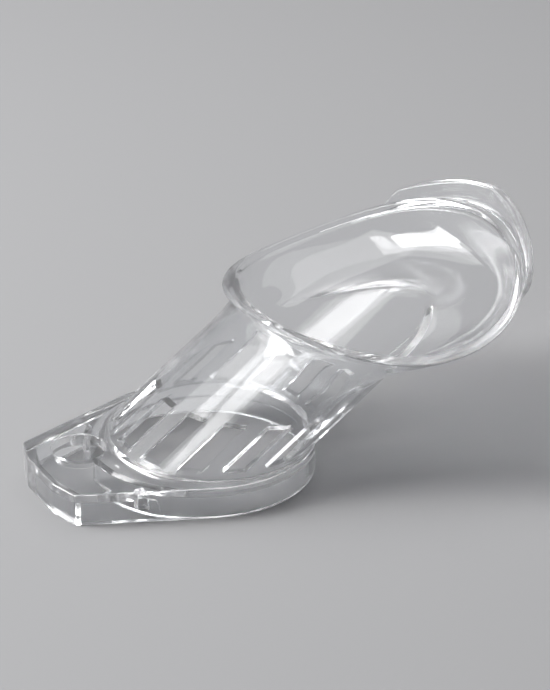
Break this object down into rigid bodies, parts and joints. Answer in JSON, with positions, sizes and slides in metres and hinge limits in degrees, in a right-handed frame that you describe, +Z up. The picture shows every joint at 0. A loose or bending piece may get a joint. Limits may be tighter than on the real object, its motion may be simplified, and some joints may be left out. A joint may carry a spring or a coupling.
{
  "type": "cheek retractor",
  "caption": "Clear plastic cheek retractor: skirted round collar with a holed tab, vented leaning tube, and a shallow oval mouth cup with a gutter lip at its far end.",
  "frame": {"origin": "centre of the collar's bottom face, on the axis of the round socket", "axes": "+Z up the socket axis, away from the resting face; +X the way the tube leans, towards the cheek lip; the tab is on -X"},
  "size_m": [0.0994, 0.0638, 0.0449],
  "materials": {
    "clear_plastic": "clear, polished"
  },
  "bodies": {
    "root": {"mount_collar": "clear_plastic", "thumb_tab": "clear_plastic", "vent_cage": "clear_plastic", "neck_tube": "clear_plastic", "retractor_cup": "clear_plastic", "mouth_rim": "clear_plastic", "cheek_lip": "clear_plastic"}
  },
  "joints": []
}
